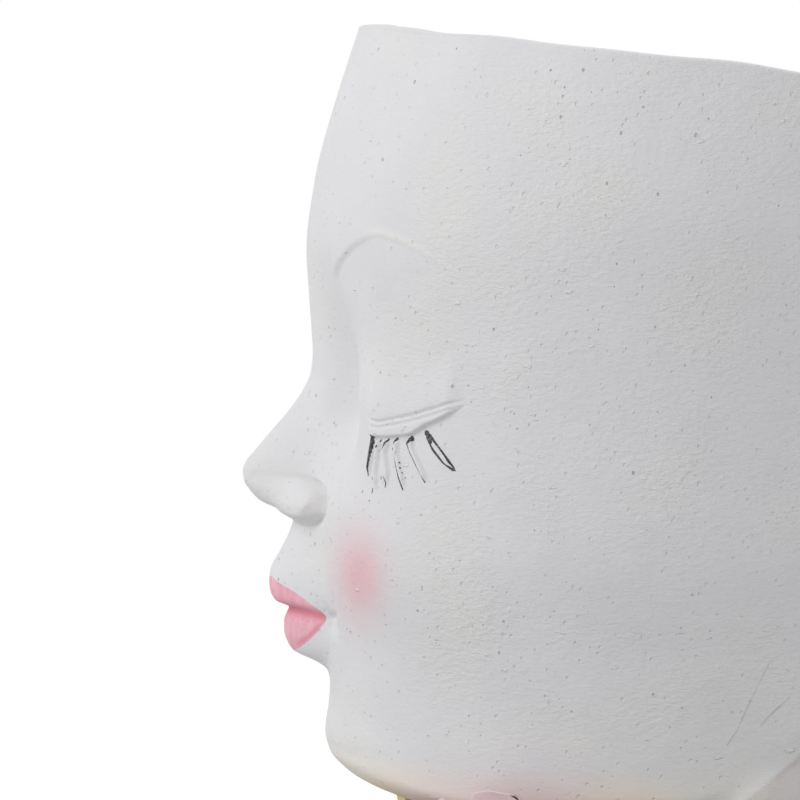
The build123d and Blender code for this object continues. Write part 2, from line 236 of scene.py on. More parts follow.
def skullReach(angle, h):
    facing = np.cos(np.radians(angle))
    share = h / skull["rim"]
    front, side, back = (skull[key] * through(skull[key + "Shares"], share) for key in ("front", "side", "back"))
    along = (np.abs(facing) / np.where(facing >= 0, front, back)) ** skull["fullness"]
    aside = (np.sin(np.radians(angle)) / side) ** skull["fullness"]
    return (along + aside) ** (-1 / skull["fullness"])


def headShare(angle, h):
    # 0 on the neck, 1 on the head, turning in under the jaw and the nape
    nape = jaw["napeRise"] * ease((angle - jaw["napeStart"]) / jaw["napeSweep"])
    nape = nape - jaw["napeFall"] * ease((angle - jaw["napeStart"] - jaw["napeSweep"]) / jaw["napeFade"])
    edge = jaw["rise"] * ease(angle / jaw["corner"]) + nape - jaw["drop"]
    turn = jaw["turnFront"] + (jaw["turnSide"] - jaw["turnFront"]) * ease(angle / jaw["sideStart"])
    turn = turn + (jaw["napeTurn"] - jaw["turnSide"]) * ease((angle - jaw["napeTurnStart"]) / jaw["napeFade"])
    t = (h - edge) / turn
    t = np.minimum((t + np.sqrt(t * t + jaw["softness"])) / 2, 1)
    return 1 - (1 - t) ** 2


def noseRelief(x, h):
    n = nose
    up = h - n["height"]
    length = np.where(up > 0, hump(up, n["bridge"]), hump(up, n["under"], n["underShape"]))
    half = n["halfWidth"] - n["narrowing"] * ease(up / n["bridge"] / n["narrowEnd"])
    half = half + n["broad"] * ease(-up / n["broadFall"])
    body = n["reach"] * length * hump(x, half, n["sideShape"])
    aside = (x - n["wingOffset"]) / n["wingWide"]
    above = (h - n["wingHeight"] + n["wingLean"] * (x - n["wingOffset"])) / n["wingTall"]
    ring = np.hypot(np.maximum(aside, 0), above)
    wing = n["wingReach"] * np.clip(1 - ring ** n["wingShape"], 0, 1) ** 0.5 * ease((x + 1) / n["wingFront"])
    wing = wing * ease(n["wingSlope"] + above)  # steep behind and above, gentle below
    # the wing runs back from the tip: whichever stands out more, with a soft join; a crease runs behind it
    crease = n["wingCrease"] * hump(ring - n["creaseRing"], n["creaseSize"]) * ease(2 * aside)
    crease = crease * ease(above + n["creaseSlope"])
    blend = n["wingBlend"] * hump(ring, n["blendSize"])
    return (body + wing + np.sqrt((body - wing) ** 2 + blend)) / 2 - crease


def mouthRelief(x, h):
    m = mouth
    along = np.clip(x / m["halfWidth"], 0, 1)
    seam = m["height"] - m["droop"] * along ** 2
    taper = m["tip"] + (1 - m["tip"]) * np.sqrt(1 - along ** 2)
    upper = (h - seam) / taper - m["upper"]
    lower = (h - seam) / taper + m["lower"]
    upperLip = np.where(upper > 0, hump(upper, m["upperRise"] * m["upper"]),
                        hump(upper, m["upperFall"] * m["upper"], m["lipShape"]))
    lowerLip = np.where(lower > 0, hump(lower, m["lowerRise"] * m["lower"], m["lipShape"]),
                        hump(lower, m["lowerFall"] * m["lower"], m["footShape"]))
    ends = (1 - along ** 2) ** m["endShape"]
    lips = (m["upperReach"] * upperLip + m["lowerReach"] * lowerLip) * ends
    up = h - m["height"] - m["upper"]
    tall = np.where(up > 0, m["muzzleTall"], m["muzzleBelow"] * m["muzzleTall"])
    muzzle = m["muzzle"] * hump(x, m["muzzleWide"]) * hump(up, tall)
    corner = hump(x - m["cornerPlace"] * m["halfWidth"], m["cornerSize"]) * hump(h - seam, m["cornerSize"])
    # the dimple that runs on from the corner
    fold = h - m["height"] + m["dimpleDrop"] - m["dimpleSlope"] * (x - m["halfWidth"])
    dimple = m["dimple"] * hump(fold, m["dimpleSize"]) * within(x, *m["dimpleSpan"])
    return lips + muzzle - m["cornerDepth"] * corner - dimple


def eyeRelief(x, h):
    up = h - eye["height"]
    level = np.where(up > 0, hump(up, eye["above"]), hump(up, eye["below"]))
    innerSpread = np.where(x < eye["innerOffset"], eye["innerNoseSide"], eye["innerSpread"])
    inner = eye["innerDepth"] * hump(x - eye["innerOffset"], innerSpread) * level
    outer = eye["outerDepth"] * hump(x - eye["outerOffset"], eye["outerSpread"]) * level
    ball = eye["ballReach"] * hump(x - eye["ballOffset"], eye["ballWide"]) * hump(up, eye["ballTall"])
    return ball - inner - outer


def earRelief(angle, h, reach):
    e = ear
    up = h - e["height"]
    back = np.radians(angle - e["angle"]) * reach - e["lean"] * up
    share = back / e["wide"]
    ring = np.hypot(back / (e["wide"] + e["widening"] * up), up / e["tall"])
    leaf = (e["reach"] + e["flare"] * back) * (1 - ease((ring - e["edge"]) / e["edgeSoft"]))
    rim = e["rim"] * hump(ring - e["rimRing"], e["rimSize"]) * ease(2 + 2 * share)
    groove = hump(ring - e["grooveRing"], e["grooveSize"]) * ease(e["grooveStart"] + e["grooveRise"] * up / e["tall"])
    bowl, flap = (e[part] * hump(share + e[part + "Back"], e[part + "Wide"])
                  * hump(up + e[part + "Drop"] * e[part + "Size"], e["length"] * e[part + "Size"])
                  for part in ("bowl", "flap"))
    whole = leaf + rim - e["groove"] * groove - bowl + flap
    return np.where((ring < e["limit"]) & (angle > e["fromAngle"]), whole, 0)


# eyelid and brow lines: degrees round the head from the front, and height
lid = dict(
    crease=[(26.6, 68.9), (27.8, 68.4), (29.7, 68), (31.5, 68.4), (35, 69.2), (38.8, 70.4), (42.4, 71.6), (45, 72.4)],
    edge=[(26, 65.8), (27.8, 65.6), (30.5, 65.6), (33.2, 65.9), (35.3, 66.3), (37.7, 67.8), (40.4, 69.1),
          (43.2, 70.7), (46, 72.4)],
    ends=(26.8, 1.6, 45.2, 3.5), creaseEnds=(26.8, 1, 45.2, 3), overhang=0.85, edgeDrop=0.28, edgeSoft=0.36, fade=9,
    creaseDepth=0.42, creaseSize=0.27, twinShare=0.6, twinDrop=1,
    brow=[(15.5, 88), (18.1, 93), (21.8, 95.9), (27.3, 99), (31.3, 100.1), (35.6, 99), (40.8, 96.7), (46, 93)],
    browStep=0.6, browEnds=(17, 2.5, 46, 12), browFade=0.6, fadeStart=22, fadeSoft=10, browSoft=0.6,
    # the highlight keys lay a painted highlight along the brow's arch
    browAbove=4, browBelow=9, highlightRise=0.7, highlightSize=0.8, highlightEnds=(27, 4, 46, 10))
lashes = dict(
    ridges=[[(28.2, 65.6), (27.5, 62.2), (26.7, 58.4)], [(29.2, 65), (28.9, 62.9), (28.4, 59.3), (28.5, 55.8)],
            [(31, 65), (30.3, 63), (30.8, 59.4), (30.6, 56.7)], [(32.6, 65.2), (32.4, 63), (33.2, 60), (34.2, 56.6)],
            [(35, 65.6), (35.2, 63.6), (36.6, 60.9), (38.2, 57.8)],
            [(38, 66.3), (39.6, 63.9), (41.3, 61.8), (42.6, 60.3)]],
    reach=0.55, halfWidth=0.45, ends=(0, 0.06, 1, 0.25), region=(24, 46, 53, 68),
    perDegree=1.27)  # millimetres to a degree


def distanceTo(line, u, v):
    # least distance from points to a polyline, and how far along it that is, 0 to 1
    pts = np.array(line, float)
    runs = np.hypot(*np.diff(pts, axis=0).T)
    start = np.concatenate([[0], np.cumsum(runs)])
    best = np.full(np.shape(u), 1e9)
    place = np.zeros(np.shape(u))
    for k in range(len(runs)):
        d = (pts[k + 1] - pts[k]) / runs[k]
        t = np.clip((u - pts[k, 0]) * d[0] + (v - pts[k, 1]) * d[1], 0, runs[k])
        gap = np.hypot(u - pts[k, 0] - t * d[0], v - pts[k, 1] - t * d[1])
        place = np.where(gap < best, (start[k] + t) / start[-1], place)
        best = np.minimum(gap, best)
    return best, place


def lidRelief(angle, h):
    over = h - through(lid["edge"], angle)
    fold = h - through(lid["crease"], angle)
    shelf = ease((over + lid["edgeDrop"]) / lid["edgeSoft"]) * (1 - ease(fold / lid["fade"]))
    shelf = lid["overhang"] * shelf * within(angle, *lid["ends"])
    twin = lid["twinShare"] * hump(fold + lid["twinDrop"], lid["creaseSize"])
    crease = lid["creaseDepth"] * (hump(fold, lid["creaseSize"]) + twin) * within(angle, *lid["creaseEnds"])
    brow = h - through(lid["brow"], angle)
    arch = hump(brow, np.where(brow > 0, lid["browAbove"], lid["browBelow"])) * within(angle, *lid["browEnds"])
    fade = 1 - lid["browFade"] * ease((angle - lid["fadeStart"]) / lid["fadeSoft"])  # toward the temple
    step = ease((brow + lid["browSoft"]) / (2 * lid["browSoft"])) - 0.5
    return shelf - crease + lid["browStep"] * fade * arch * step


def lashRelief(angle, h):
    relief = np.zeros(np.shape(angle))
    left, right, low, high = lashes["region"]
    near = (angle > left) & (angle < right) & (h > low) & (h < high)
    u, v = angle[near] * lashes["perDegree"], h[near]
    best = np.zeros(len(u))
    for line in lashes["ridges"]:
        gap, place = distanceTo([(a * lashes["perDegree"], b) for a, b in line], u, v)
        ridge = lashes["reach"] * hump(gap, lashes["halfWidth"], 5) * within(place, *lashes["ends"])
        best = np.maximum(best, ridge)
    relief[near] = best
    return relief


def neckReach(angle, h):
    # the neck swells to meet the jaw at its corner, below the ear
    low, high = jaw["flareLevels"]
    return skull["neck"] + jaw["flare"] * ease((h - low) / (high - low)) * within(angle, *jaw["flareSpan"])


# the face's relief ends before the ear; its middle line spreads sideways, wider at the brow and the chin
faceBlend = dict(end=86, endSoft=12, spread=9, browSpread=16, browStart=76, browSoft=20, chinSpread=12, chinStart=21,
                 chinSoft=10, ends=(-2, 2, 137, 8), sideLimit=80, lidLimit=60)


def outsideReach(angle, h):
    reach = skullReach(angle, h)
    x = reach * np.sin(np.radians(angle))
    facing = ease((faceBlend["end"] - angle) / faceBlend["endSoft"])
    bulge = hump(x - cheek["offset"], cheek["spread"]) * hump(h - cheek["height"], cheek["spread"])
    face = noseRelief(x, h) + mouthRelief(x, h) + eyeRelief(x, h) + cheek["reach"] * bulge
    reach = reach + face * facing + earRelief(angle, h, reach)
    neck = neckReach(angle, h)
    return neck + (reach - neck) * headShare(angle, h)


def finishedReach(angle, h):
    # the outside drawn to the middle line of the face, then the fine relief of lids, brows and lashes
    b = faceBlend
    reach = outsideReach(angle, h)
    middle = outsideReach(np.zeros(np.shape(h)), h)
    x = reach * np.sin(np.radians(np.minimum(angle, 90)))
    spread = b["spread"] + b["browSpread"] * ease((h - b["browStart"]) / b["browSoft"])
    spread = spread + b["chinSpread"] * ease((b["chinStart"] - h) / b["chinSoft"])
    known = within(h, *b["ends"]) * (angle < b["sideLimit"])
    reach = reach + (through(faceLine, h) - middle) * hump(x, spread) * known
    return reach + np.where(angle < b["lidLimit"], lidRelief(angle, h) + lashRelief(angle, h), 0)


shell = dict(plinthBottom=2, plinthTop=14, plinthRadius=54, edgeRound=2.5, recessRadius=28, recessDepth=7, bevel=0.4,
             floorTop=18, drain=8, rimFront=(67, 188), rimSlope=7.5, rimRound=1.1, rimTrim=0.8, rimGauge=130,
             socket=9.2, socketTall=2, socketFront=1.2, socketSide=75, turnShare=0.6,
             recessRings=(12, 20), underRing=40, neckRings=(48, 44, 42.6), floorRings=(33.5, 30, 20, 12),
             arcSteps=6, leanRings=26, rimRings=12, rimFlat=0.6, hollowRings=60, hollowEnd=1.5, insideRings=80,
             rimDips=[(32, 20, -0.9), (63, 12, -0.45), (86, 9, 0.3), (135, 25, -0.5)],  # degrees, spread, lift
             rimRipple=0.1, rippleCount=17, rippleTurn=50)


def hollowReach(angle, h):
    socket = shell["socket"] * hump(h - eye["height"], shell["socketTall"] * eye["above"])
    share = headShare(angle, h - shell["turnShare"] * skull["wall"])
    plain = skull["neck"] + (skullReach(angle, h) - skull["neck"]) * share
    return plain - skull["wall"] - socket * ease(shell["socketFront"] - angle / shell["socketSide"])


def rimLevel(angle, reach):
    y = -reach * np.cos(np.radians(angle))
    front, level = shell["rimFront"]
    return level - math.tan(math.radians(shell["rimSlope"])) * (y + front)


# the grid's stretches as (end, step): degrees from the front, and heights; closest at the nose's wing and the lashes
grid = dict(
    columns=[(7.5, 0.36), (13, 0.2), (24, 0.36), (47, 0.19), (62, 0.42), (80, 0.9), (104, 0.45), (128, 0.62),
             (180, 1.6)],
    lowest=-35, levels=[(-8, 2.2), (24, 0.5), (40, 0.3), (48, 0.4), (74, 0.22), (94, 0.6), (102, 0.35), (110, 0.9)])


def columnAngles():
    half = steps(0, *grid["columns"])
    return np.concatenate([-half[:0:-1], half[:-1]])


def headGrid():
    # one closed profile swept round the head: up the outside, over the rim, down the hollow and out at the drain
    turn = columnAngles()
    angle = np.abs(turn)
    chin = skull["chinLevel"]
    s = shell
    rings = []  # (reach, level) arrays, one per ring
    flat = np.ones(len(turn))

    def ring(reach, level):
        rings.append((reach * flat, level * flat))

    under, bevel = s["plinthBottom"], s["bevel"]
    floorBottom = under + s["recessDepth"]
    ring(s["drain"], s["floorTop"])
    ring(s["drain"], floorBottom)
    for reach in (*s["recessRings"], s["recessRadius"] - bevel):
        ring(reach, floorBottom)
    ring(s["recessRadius"], floorBottom - bevel)
    ring(s["recessRadius"], under + bevel)
    ring(s["recessRadius"] + bevel, under)
    ring(s["underRing"], under)
    inner = s["plinthRadius"] - s["edgeRound"]
    arc = [math.radians(90 * k / s["arcSteps"]) for k in range(s["arcSteps"] + 1)]
    for a in arc:
        ring(inner + s["edgeRound"] * math.sin(a), under + s["edgeRound"] * (1 - math.cos(a)))
    for a in arc:
        ring(inner + s["edgeRound"] * math.cos(a), s["plinthTop"] - s["edgeRound"] * (1 - math.sin(a)))
    for reach in s["neckRings"]:
        ring(reach, s["plinthTop"])
    levels = steps(grid["lowest"], *grid["levels"])
    for h in levels:
        rings.append((finishedReach(angle, h * flat), (h + chin) * flat))
    # from here the rings lean to the sloping rim
    low = levels[-1] + chin
    # the rim dips here and there, as a hand-trimmed edge does
    wave = s["rimRipple"] * np.sin(np.radians(turn * s["rippleCount"] + s["rippleTurn"]))
    wave = wave + sum(lift * hump(angle - a, w) for a, w, lift in s["rimDips"])
    top = rimLevel(angle, finishedReach(angle, s["rimGauge"] * flat)) - s["rimRound"] - s["rimTrim"] + wave
    for t in np.linspace(0, 1, s["leanRings"])[1:]:
        level = low + (top - low) * t
        rings.append((finishedReach(angle, level - chin), level))
    outer = rings[-1][0]
    innerTop = hollowReach(angle, top - chin)
    middle = (outer + innerTop) / 2
    half = (outer - innerTop) / 2
    for k in range(1, s["rimRings"]):
        a = math.pi * k / s["rimRings"]
        lift = math.sin(a) ** s["rimFlat"] * s["rimRound"]
        side = math.copysign(abs(math.cos(a)) ** s["rimFlat"], math.cos(a))
        rings.append((middle + half * side, top + lift))
    for t in np.linspace(0, 1, s["hollowRings"]):
        level = top + (s["floorTop"] + s["hollowEnd"] - top) * t
        rings.append((hollowReach(angle, level - chin), level))
    for reach in s["floorRings"]:
        ring(reach, s["floorTop"])
    return turn, rings


def makeMesh(name, points, faces, smooth=False):
    mesh = bpy.data.meshes.new(name)
    mesh.from_pydata(points, [], faces)
    mesh.polygons.foreach_set("use_smooth", [smooth] * len(faces))
    mesh.update()
    obj = bpy.data.objects.new(name, mesh)
    scene.collection.objects.link(obj)
    return obj


def gridFaces(rows, columns, closeRows=False, closeColumns=False):
    r = np.arange(rows if closeRows else rows - 1)
    c = np.arange(columns if closeColumns else columns - 1)
    rr, cc = np.meshgrid(r, c, indexing="ij")
    r2, c2 = (rr + 1) % rows, (cc + 1) % columns
    quads = np.stack([rr * columns + cc, rr * columns + c2, r2 * columns + c2, r2 * columns + cc], axis=-1)
    return quads.reshape(-1, 4)


def setAttribute(obj, name, values):
    field = obj.data.attributes.new(name, "FLOAT", "POINT")
    field.data.foreach_set("value", np.ascontiguousarray(values, dtype=np.float32))


paint = dict(front=40, reach=60)  # only the face is painted: forward of this, and outside the hollow
lipPaint = dict(halfWidth=13.8, droop=0.6, upper=5.5, lower=7.9, upperFull=0.6, lowerFull=0.68, limit=3,
                bow=0.45, bowOffset=3.2, bowSize=1.8, dip=0.3, dipSize=1.2, seamSize=1.1,
                facet=0.8, facetInset=0.7, facetSize=0.45, facetDrop=2, facetStart=4, facetSoft=4)
rouge = dict(depth=67.2, height=41, wide=4.2, tall=7.4, beyond=18)
# dirt in the jaw's crease; dirt with painted shade behind the nose's wing
dirt = dict(jaw=0.7, jawShare=0.12, jawSize=0.11, jawLevel=44, jawEnd=118, jawSoft=16,
            wing=0.45, wingRing=0.96, wingSize=0.06, wingLevel=48, wingSoft=4)
# painted bounce light: how strongly the petals' colours are painted under the chin
paintedBounce = dict(levels=(-16, 8, 11, 13), front=5, frontSoft=20, turns=4, yellow=0.75, pink=0.4)


def paintLips(obj, side, h, faceOnly):
    # a distance inside the lips' outline, and painted shade along their seam and on the lower lip's side facet
    p = lipPaint
    along = np.clip(side / p["halfWidth"], 0, 1)
    seam = mouth["height"] - p["droop"] * along ** 2
    bow = p["bow"] * hump(side - p["bowOffset"], p["bowSize"]) - p["dip"] * hump(side, p["dipSize"])
    top = seam + p["upper"] * (1 - along ** 2) ** p["upperFull"] + bow * (1 - along)
    bottom = seam - p["lower"] * (1 - along ** 2) ** p["lowerFull"]
    inside = np.minimum(np.minimum(top - h, h - bottom), p["halfWidth"] - side)
    facet = p["facet"] * hump(inside - p["facetInset"], p["facetSize"]) * ease((seam - h) / p["facetDrop"])
    facet = facet * ease((side - p["facetStart"]) / p["facetSoft"])
    lipShade = np.maximum(hump(h - seam, p["seamSize"]), facet)
    setAttribute(obj, "lipPaint", np.where(faceOnly, np.clip(inside, -p["limit"], p["limit"]), -p["limit"]))
    setAttribute(obj, "lipSeam", np.where(faceOnly & (inside > 0), lipShade, 0))


def buildHead():
    turn, rings = headGrid()
    reach = np.array([r for r, _ in rings])
    level = np.array([z for _, z in rings]).ravel()
    x = (reach * np.sin(np.radians(turn))).ravel()
    y = (-reach * np.cos(np.radians(turn))).ravel()
    quads = gridFaces(len(rings), len(turn), closeRows=True, closeColumns=True)[:, ::-1]
    obj = makeMesh("head_cast", (np.stack([x, y, level], axis=-1) * mm).tolist(), quads.tolist(), smooth=True)
    side, h = np.abs(x), level - skull["chinLevel"]
    angle = np.abs(np.degrees(np.arctan2(x, -y)))
    faceOnly = (y < -paint["front"]) & (np.hypot(x, y) > paint["reach"])
    outside = np.repeat(np.arange(len(rings)) < len(rings) - shell["insideRings"], len(turn))
    paintLips(obj, side, h, faceOnly)
    spot = np.hypot((-y - rouge["depth"]) / rouge["wide"], (h - rouge["height"]) / rouge["tall"])
    setAttribute(obj, "rouge", np.where(faceOnly & (side > rouge["beyond"]), hump(spot, 1), 0))
    # dirt in the crease where the jaw meets the neck, and dirt with painted shade in the crease behind the nose's wing
    crease = hump(headShare(angle, h) - dirt["jawShare"], dirt["jawSize"]) * outside * (level > dirt["jawLevel"])
    jawDirt = dirt["jaw"] * crease * ease((dirt["jawEnd"] - angle) / dirt["jawSoft"])
    behind = (side - nose["wingOffset"]) / nose["wingWide"]
    ring = np.hypot(np.maximum(behind, 0), (h - nose["wingHeight"]) / nose["wingTall"])
    wingDirtAndShade = dirt["wing"] * hump(ring - dirt["wingRing"], dirt["wingSize"]) * ease(2 * behind) * faceOnly
    wingDirtAndShade = wingDirtAndShade * ease((h - dirt["wingLevel"]) / dirt["wingSoft"])
    setAttribute(obj, "creaseDirt", np.maximum(jawDirt, wingDirtAndShade))
    # painted highlight: a lighter line painted along the brow's arch toward the temple, where the ridge catches the
    # light
    overBrow = h - through(lid["brow"], np.minimum(angle, faceBlend["lidLimit"]))
    browHighlight = hump(overBrow - lid["highlightRise"], lid["highlightSize"]) * within(angle, *lid["highlightEnds"])
    setAttribute(obj, "browGlow", browHighlight * faceOnly)
    # painted bounce light: the petals' yellow and pink painted up under the chin by turns, as the light they throw
    wave = np.cos(paintedBounce["turns"] * np.arctan2(x, -y)) / 2
    near = within(h, *paintedBounce["levels"]) * ease((-y - paintedBounce["front"]) / paintedBounce["frontSoft"]) * outside
    setAttribute(obj, "yellowGlow", near * ease(paintedBounce["yellow"] + wave))
    setAttribute(obj, "pinkGlow", near * ease(paintedBounce["pink"] - wave))
    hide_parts("head_shell")
    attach(obj, "planter")
    return obj


head = buildHead()
print("head", len(head.data.vertices), "points")

# the wash: pattern sizes in millimetres; jaw and front are where it turns smoother, in metres up and back
wash = dict(blotch=14, patch=20, brush=0.7, swell=4.5, speck=1.1, pore=2, crumb=2.6, ragged=1.2, dirt=3, lipBrush=1.4,
            jaw=(0.055, 0.085), front=(-0.066, -0.044), relief=0.5, strength=0.78)


def castMagnesia():
    # magnesia cement, slip cast and brushed with a matt white wash: chalky, pinholed, with soft brush marks
    material, tree, shader = newMaterial("castMagnesia", {"Roughness": 0.82, "IOR": 1.5, "Specular IOR Level": 0.3})
    w = wash
    place = (addNode(tree, "ShaderNodeTexCoord"), "Object")
    blotch, patch = noise(place, w["blotch"], 3), noise(place, w["patch"], 1)
    # chalk, painted bounce light from the petals, ivory patches of age, a painted highlight on the brow, rouge, and
    # dirt with painted shade in the creases
    stone = layer("#dedee1", "#e8e8ea", blotch)
    for tone, share in (("#f0e0b2", attribute(tree, "yellowGlow")),
                        ("#e7cdcb", attribute(tree, "pinkGlow")),
                        ("#e6e5e2", ranged(patch, 0.52, 0.68, 0, 0.5)),
                        ("#f4f3ed", reckon("MULTIPLY", attribute(tree, "browGlow"), 0.4)),
                        ("#ecb2ba", reckon("MULTIPLY", attribute(tree, "rouge"), 0.72)),
                        ("#a58d80", reckon("MULTIPLY", attribute(tree, "creaseDirt"), noise(place, w["dirt"], 4)))):
        stone = layer(stone, tone, share)
    # lip paint, streaked by the brush, with painted shade along the seam and on the lower lip's side facet
    lipMask = ranged(attribute(tree, "lipPaint"), -0.06, 0.1)
    lipPull = (addNode(tree, "ShaderNodeMapping", {"Vector": place, 2: (0.9, 0, 0), 3: (1, 1, 0.4)}), 0)
    lipBrush = noise(lipPull, w["lipBrush"], 3, Distortion=0.5)
    lipTone = layer("#e9a6b5", "#f5c6d0", ranged(lipBrush, 0.2, 0.8))
    painted = layer(stone, layer(lipTone, "#e08c9c", attribute(tree, "lipSeam")), lipMask)
    # brush marks, drawn out level to twice their width, fainter on the jaw and the front of the face
    stroke = (addNode(tree, "ShaderNodeMapping", {"Vector": place, 3: (0.5, 0.5, 1)}), 0)
    brush = noise(stroke, w["brush"], 2, Roughness=0.7)
    axes = addNode(tree, "ShaderNodeSeparateXYZ", {"Vector": place})
    smoothJaw, smoothFace = ranged((axes, 2), *w["jaw"], 0.3), ranged((axes, 1), *w["front"], 0.35)
    smooth = reckon("MINIMUM", smoothFace, smoothJaw)
    uneven = reckon("MULTIPLY", ranged(patch, 0.35, 0.65, 0.5, 1.2), smooth)
    marks = reckon("MULTIPLY", brush, uneven)
    # specks and pinholes: one to a cell, of many sizes, some cells with none, fewer on the jaw
    drawn = (addNode(tree, "ShaderNodeMapping", {"Vector": place, 2: (0.7, 0, 0), 3: (1, 1, 0.8)}), 0)
    speckPlace, speckChance = cells(drawn, w["speck"])
    speckSize = ranged((speckChance, 1), 0.6, 1, 0, 0.26)
    speck = ranged(reckon("SUBTRACT", speckPlace, speckSize), -0.1, 0.06)
    porePlace, poreChance = cells(drawn, w["pore"])
    fewer = reckon("MULTIPLY", (poreChance, 0), ranged((axes, 2), *w["jaw"], 0.7))
    poreSize = ranged(reckon("MULTIPLY", fewer, blotch), 0.25, 0.6, 0, 0.13)
    pit = ranged(reckon("SUBTRACT", porePlace, poreSize), -0.04, 0.025)
    # crumbs of the wash stand up here and there and catch the light
    ragged = addNode(tree, "ShaderNodeVectorMath", {"operation": "MULTIPLY_ADD", 0: (brush[0], "Color"),
                                                    1: (w["ragged"] * mm,) * 3, 2: stroke})
    crumbPlace, crumbChance = cells((ragged, 0), w["crumb"])
    crumbSize = ranged((crumbChance, 0), 0.66, 1, 0, 0.14)
    crumb = ranged(reckon("SUBTRACT", crumbSize, crumbPlace), -0.03, 0.08)
    height = pit
    for form, share in ((crumb, 0.5), (speck, 0.35), (marks, 0.64), (noise(place, w["swell"], 2), 0.35)):
        height = reckon("MULTIPLY_ADD", form, share, height)
    addBump(shader, height, w["strength"], w["relief"])
    # painted shade darkens the inside of the holes; a painted highlight makes the crumbs pale, but not where lip paint
    # covers them
    paintedPitShade = layer(painted, "#77726d", ranged(pit, 0, 0.7, 0.26, 0))
    crumbHighlighted = layer(paintedPitShade, "#f6f6f4", reckon("MULTIPLY", crumb, 0.6))
    join(layer(crumbHighlighted, paintedPitShade, lipMask), shader, "Base Color")
    return material


head.data.materials.append(castMagnesia())
print("head painted")

# lash paint: strokes of black brushed on the ridges, each point as (degrees, height, half width)
lashPaint = dict(
    proud=0.05, sunk=0.12, spacing=0.22, tip=0.12, tipStart=0.02, tipLeast=0.1, waver=0.12, waverPitch=9, columns=5,
    strokes=[[(28.3, 65.8, 0.3), (28.2, 64.6, 0.32), (27.5, 62.2, 0.3), (27, 59.7, 0.2), (26.7, 58.4, 0.05)],
             [(29.7, 65, 0.12), (29.5, 64.5, 0.12)], [(29.2, 64, 0.13), (29, 63.5, 0.08)],
             [(28.2, 58.4, 0.1), (28.2, 57.9, 0.07)], [(27.9, 56.5, 0.06), (27.7, 55.5, 0.08)],
             [(31.2, 65.2, 0.2), (30.7, 64.3, 0.17), (30, 63.2, 0.04)],
             [(30.2, 59.4, 0.04), (30.7, 57.7, 0.09), (30.4, 56.7, 0.08)],
             [(32.8, 65.4, 0.26), (32.4, 64.8, 0.24), (32, 64, 0.05)],
             [(31.7, 63.7, 0.05), (32.3, 60.8, 0.07), (32.9, 58.5, 0.11), (33.8, 56.4, 0.13)],
             [(33.2, 61.3, 0.07), (33.3, 61, 0.06)], [(33.4, 60.4, 0.07), (33.5, 60.1, 0.06)],
             [(33.7, 59.6, 0.08), (33.8, 59.3, 0.06)], [(34.1, 58.7, 0.07), (34.2, 58.4, 0.06)],
             [(34.2, 64.5, 0.14), (34.8, 65, 0.42), (35.5, 65.6, 0.5)],
             [(34.2, 64.5, 0.06), (34.8, 63, 0.08), (36, 60.8, 0.11), (37.7, 57.9, 0.14)],
             [(37.5, 66.8, 0.4), (38.2, 65.8, 0.56), (39, 64.7, 0.46)],
             [(37.7, 65.8, 0.18), (38.9, 63.5, 0.2), (40.6, 61.6, 0.22), (42.6, 60.2, 0.24)],
             [(38.4, 66.3, 0.12), (39.6, 64.6, 0.08), (41.2, 62.6, 0.09), (42.4, 61, 0.13), (42.8, 60.1, 0.16)]])


def joinShells(shells):
    # several (points, faces) shells as one list of points and faces
    points, faces, start = [], [], 0
    for pts, fcs in shells:
        points += [tuple(p) for p in pts]
        faces += [tuple(i + start for i in f) for f in fcs]
        start += len(pts)
    return points, faces


def tubeFaces(rows, columns):
    # faces of a tube of rings, closed by a face at each end
    faces = [tuple(q) for q in gridFaces(rows, columns, closeColumns=True)[:, ::-1].tolist()]
    return faces + [tuple(range(columns)), tuple(reversed(range((rows - 1) * columns, rows * columns)))]


def strokeShell(stroke, sign):
    # a thin film of paint along a stroke, wrapped on the finished surface
    perDegree = lashes["perDegree"]
    pts = np.array([(a * perDegree, h) for a, h, _ in stroke])
    run = np.concatenate([[0], np.cumsum(np.hypot(*np.diff(pts, axis=0).T))])
    count = max(3, int(run[-1] / lashPaint["spacing"]) + 1)
    at = np.linspace(0, run[-1], count)
    u, v = np.interp(at, run, pts[:, 0]), np.interp(at, run, pts[:, 1])
    half = np.interp(at, run, [w for _, _, w in stroke])
    fromEnd = np.minimum(at, run[-1] - at) + lashPaint["tipStart"]
    half = half * np.sqrt(np.clip(fromEnd / lashPaint["tip"], lashPaint["tipLeast"], 1))
    half = half * (1 + lashPaint["waver"] * np.sin(at * lashPaint["waverPitch"] + u[0]))  # an uneven edge
    du, dv = np.gradient(u), np.gradient(v)
    size = np.hypot(du, dv)
    across = np.linspace(-1, 1, lashPaint["columns"])
    uu = u[:, None] - (dv / size)[:, None] * half[:, None] * across
    vv = v[:, None] + (du / size)[:, None] * half[:, None] * across
    angle = uu / perDegree
    reach = finishedReach(angle, vv)
    rings = []
    for lift, order in ((lashPaint["proud"], slice(None)), (-lashPaint["sunk"], slice(None, None, -1))):
        r = reach + lift
        x, y = sign * r * np.sin(np.radians(angle)), -r * np.cos(np.radians(angle))
        rings.append(np.stack([x, y, vv + skull["chinLevel"]], axis=-1)[:, order])
    points = np.concatenate(rings, axis=1).reshape(-1, 3) * mm
    faces = tubeFaces(count, 2 * lashPaint["columns"])
    return points, faces if sign > 0 else [f[::-1] for f in faces]


def lashBlack():
    # black acrylic, brushed on thin: charcoal where the brush ran dry
    settings = {"Roughness": 0.55, "IOR": 1.49}
    return twoTone("brushedBlackAcrylic", settings, "#22242a", "#5f6269", 0.9, 3, (0.42, 0.72))


